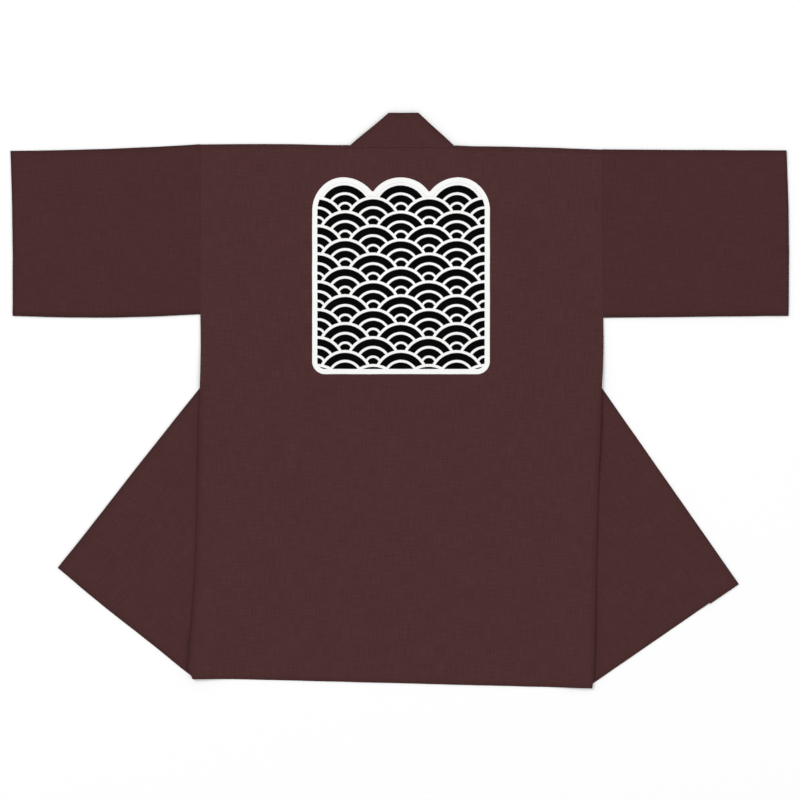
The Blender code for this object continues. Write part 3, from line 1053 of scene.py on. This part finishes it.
def wavePrint(recipe, u, v, fleck):
    # rows of overlapping wave scales in black with white arcs, and a white line round the whole block
    radius = wave["radius"]
    blur = recipe.math("MULTIPLY", recipe.math("SUBTRACT", fleck, 0.5), wave["bleed"] * 3)
    x = recipe.math("ADD", recipe.math("SUBTRACT", u, wave["centre"][0]), blur)
    y = recipe.math("ADD", recipe.math("SUBTRACT", v, wave["centre"][1]), blur)
    half = radius / 2
    # rows counted down from the top one, so that row 0's scales end the block
    depth = recipe.math("DIVIDE", recipe.math("SUBTRACT", wave["topRow"], y), half)
    row = recipe.math("CEIL", depth)

    def scaleDistance(extra):
        # distance to the nearest scale's centre, in a row counted down from the point
        index = recipe.math("ADD", row, extra)
        odd = recipe.math("ABSOLUTE", recipe.math("MODULO", index, 2.0))
        moved = recipe.math("ADD", x, recipe.math("MULTIPLY", odd, radius))
        aside = recipe.math("PINGPONG", moved, radius)
        drop = recipe.math("MULTIPLY", recipe.math("SUBTRACT", index, depth), half)
        return recipe.math("DIVIDE", recipe.diagonal(aside, drop), radius)

    front, middle, rear = scaleDistance(1.0), scaleDistance(0.0), scaleDistance(-1.0)
    inMiddle = recipe.math("LESS_THAN", middle, 1.0)
    behind = recipe.math("MULTIPLY_ADD", inMiddle, recipe.math("SUBTRACT", middle, rear), rear)
    inFront = recipe.math("LESS_THAN", front, 1.0)
    reach = recipe.math("MULTIPLY_ADD", inFront, recipe.math("SUBTRACT", front, behind), behind)
    arcs = None
    for place, width in wave["rings"]:
        near = recipe.math("ABSOLUTE", recipe.math("SUBTRACT", reach, place))
        ring = recipe.ranged(near, width - wave["softness"], width + wave["softness"], 1.0, 0.0)
        arcs = ring if arcs is None else recipe.math("MAXIMUM", arcs, ring)
    # distance outside the block: round scales along the top, straight sides and foot
    nearest = recipe.math("ROUND", recipe.math("DIVIDE", x, 2 * radius))
    nearest = recipe.math("MINIMUM", recipe.math("MAXIMUM", nearest, -wave["columns"]), wave["columns"])
    aside = recipe.math("SUBTRACT", x, recipe.math("MULTIPLY", nearest, 2 * radius))
    above = recipe.math("MAXIMUM", recipe.math("SUBTRACT", y, wave["topRow"]), 0.0)
    overTop = recipe.math("SUBTRACT", recipe.diagonal(aside, above), radius)
    # the second row's scales fill the valleys between them
    asideNext = recipe.math("SUBTRACT", recipe.math("ABSOLUTE", x), radius)
    aboveNext = recipe.math("ADD", recipe.math("SUBTRACT", y, wave["topRow"]), half)
    overNext = recipe.math("SUBTRACT", recipe.diagonal(asideNext, aboveNext), radius)
    overTop = recipe.math("MINIMUM", overTop, overNext)
    beside = recipe.math("SUBTRACT", recipe.math("ABSOLUTE", x), radius * (2 * wave["columns"] + 1))
    under = recipe.math("SUBTRACT", wave["bottom"], y)
    onTop = recipe.math("GREATER_THAN", y, wave["topRow"])
    corner = wave["corner"]
    besideIn = recipe.math("MAXIMUM", recipe.math("ADD", beside, corner), 0.0)
    underIn = recipe.math("MAXIMUM", recipe.math("ADD", under, corner), 0.0)
    rounded = recipe.math("SUBTRACT", recipe.diagonal(besideIn, underIn), corner)
    lower = recipe.math("MAXIMUM", recipe.math("MAXIMUM", beside, under), rounded)
    outside = recipe.math("MULTIPLY_ADD", onTop, recipe.math("SUBTRACT", overTop, lower), lower)
    soft = wave["bleed"]
    border = recipe.ranged(outside, -soft, soft, 0.0, 1.0)
    inked = recipe.ranged(outside, wave["outline"] - soft, wave["outline"] + soft, 1.0, 0.0)
    white = recipe.math("MAXIMUM", border, arcs)
    return recipe.mix(white, wave["black"], wave["white"]), inked


thread = {"colour": (0.0690, 0.0268, 0.0270, 1.0), "roughness": 0.8, "ply": 4200, "bump": 0.00005}


def threadFinish():
    recipe = Recipe("maroonThread")
    place = recipe.node("ShaderNodeTexCoord", output=3)
    ply = recipe.noise(recipe.scaled(place, [thread["ply"]] * 3), 1.0, 1.0)
    colour = recipe.mix(recipe.ranged(ply, 0.35, 0.65, 0.0, 1.0), thread["colour"], cotton["slubColour"])
    normal = recipe.raised(ply, 0.5, thread["bump"])
    return recipe.finished({"Base Color": colour, "Roughness": thread["roughness"], "Normal": normal})


def putOn(piece, stitches, node, finish):
    piece.data.materials.append(finish)
    stitches.data.materials.append(threadMaterial)
    for thing in (piece, stitches):
        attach(thing, "root")
    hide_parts(node)


threadMaterial = threadFinish()
backFinish = clothFinish("printedBackCotton", cotton["backTone"], printed=True)
bodyFinish = clothFinish("maroonBodyCotton", cotton["bodyTone"])
sleeveFinish = clothFinish("maroonSleeveCotton", cotton["sleeveTone"])

panel = backPanel()
back = sewPanel(panel, [], backCloth["grid"])
putOn(back, panelStitches(panel), "back", backFinish)
print("back sewn")

for side, half in sideHalves.items():
    panel = frontPanel(side + "Front", half)
    front = sewPanel(panel, [half.shoulder, half.lapel.mirrored(half.shoulder)], frontCloth["grid"])
    putOn(front, panelStitches(panel, -1), "front_" + side, bodyFinish)
print("fronts sewn")

for side, half in sideHalves.items():
    sleeve = Sleeve(side + "Sleeve", half)
    tube = sewSleeve(sleeve)
    putOn(tube, sleeveStitches(sleeve), "sleeve_" + side, sleeveFinish)
print("sleeves sewn")

panel = collarPanel()
collarFolds = []
for half in sideHalves.values():
    collarFolds += [half.crease, half.lapel.mirrored(half.crease)]
collar = sewPanel(panel, collarFolds, collarCloth["grid"])
putOn(collar, panelStitches(panel), "collar", bodyFinish)
print("collar sewn")

studio = {
    "floorColour": (0.99, 0.99, 0.99, 1.0),
    "floorSize": 30.0,
    "floorHeight": -0.0001,
    "keyPlace": (-4.1, 3.6, 6.2),
    "keySize": 3.6,
    "keyPower": 252.0,
    "fillPlace": (4.6, -2.2, 6.7),
    "fillSize": 5.0,
    "fillPower": 152.0,
    "sky": 0.60,
}


def addLight(name, place, size, power):
    lamp = bpy.data.lights.new(name, "AREA")
    lamp.shape = "SQUARE"
    lamp.size = size
    lamp.energy = power
    light = bpy.data.objects.new(name, lamp)
    light.location = place
    light.rotation_euler = (-Vector(place)).to_track_quat("-Z", "Y").to_euler()
    bpy.context.scene.collection.objects.link(light)


def setStudio():
    half = studio["floorSize"] / 2
    mesh = bpy.data.meshes.new("floor")
    corners = [(-half, -half, 0), (half, -half, 0), (half, half, 0), (-half, half, 0)]
    mesh.from_pydata(corners, [], [(0, 1, 2, 3)])
    floor = bpy.data.objects.new("floor", mesh)
    floor.location.z = studio["floorHeight"]
    paper = bpy.data.materials.new("palePaper")
    paper.use_nodes = True
    surface = paper.node_tree.nodes["Principled BSDF"]
    surface.inputs["Base Color"].default_value = studio["floorColour"]
    surface.inputs["Roughness"].default_value = 0.9
    surface.inputs["Specular IOR Level"].default_value = 0.1
    mesh.materials.append(paper)
    bpy.context.scene.collection.objects.link(floor)
    world = bpy.data.worlds.new("softStudio")
    world.use_nodes = True
    sky = world.node_tree.nodes["Background"]
    sky.inputs["Color"].default_value = (1.0, 1.0, 1.0, 1.0)
    sky.inputs["Strength"].default_value = studio["sky"]
    bpy.context.scene.world = world
    bpy.context.scene.view_settings.view_transform = "Standard"
    addLight("keyLight", studio["keyPlace"], studio["keySize"], studio["keyPower"])
    addLight("fillLight", studio["fillPlace"], studio["fillSize"], studio["fillPower"])


camera = {"lens": 85.0, "sensor": 36.0, "span": 1.2635, "over": (0.0008, 0.00075)}


def setCamera():
    data = bpy.data.cameras.new("overheadCamera")
    data.lens = camera["lens"]
    data.sensor_width = camera["sensor"]
    data.sensor_fit = "HORIZONTAL"
    view = bpy.data.objects.new("overheadCamera", data)
    height = camera["span"] * camera["lens"] / camera["sensor"]
    view.location = (*camera["over"], height)
    view.rotation_euler = (0, 0, 0)
    bpy.context.scene.collection.objects.link(view)
    bpy.context.scene.camera = view


setStudio()
setCamera()
print("studio and camera set")
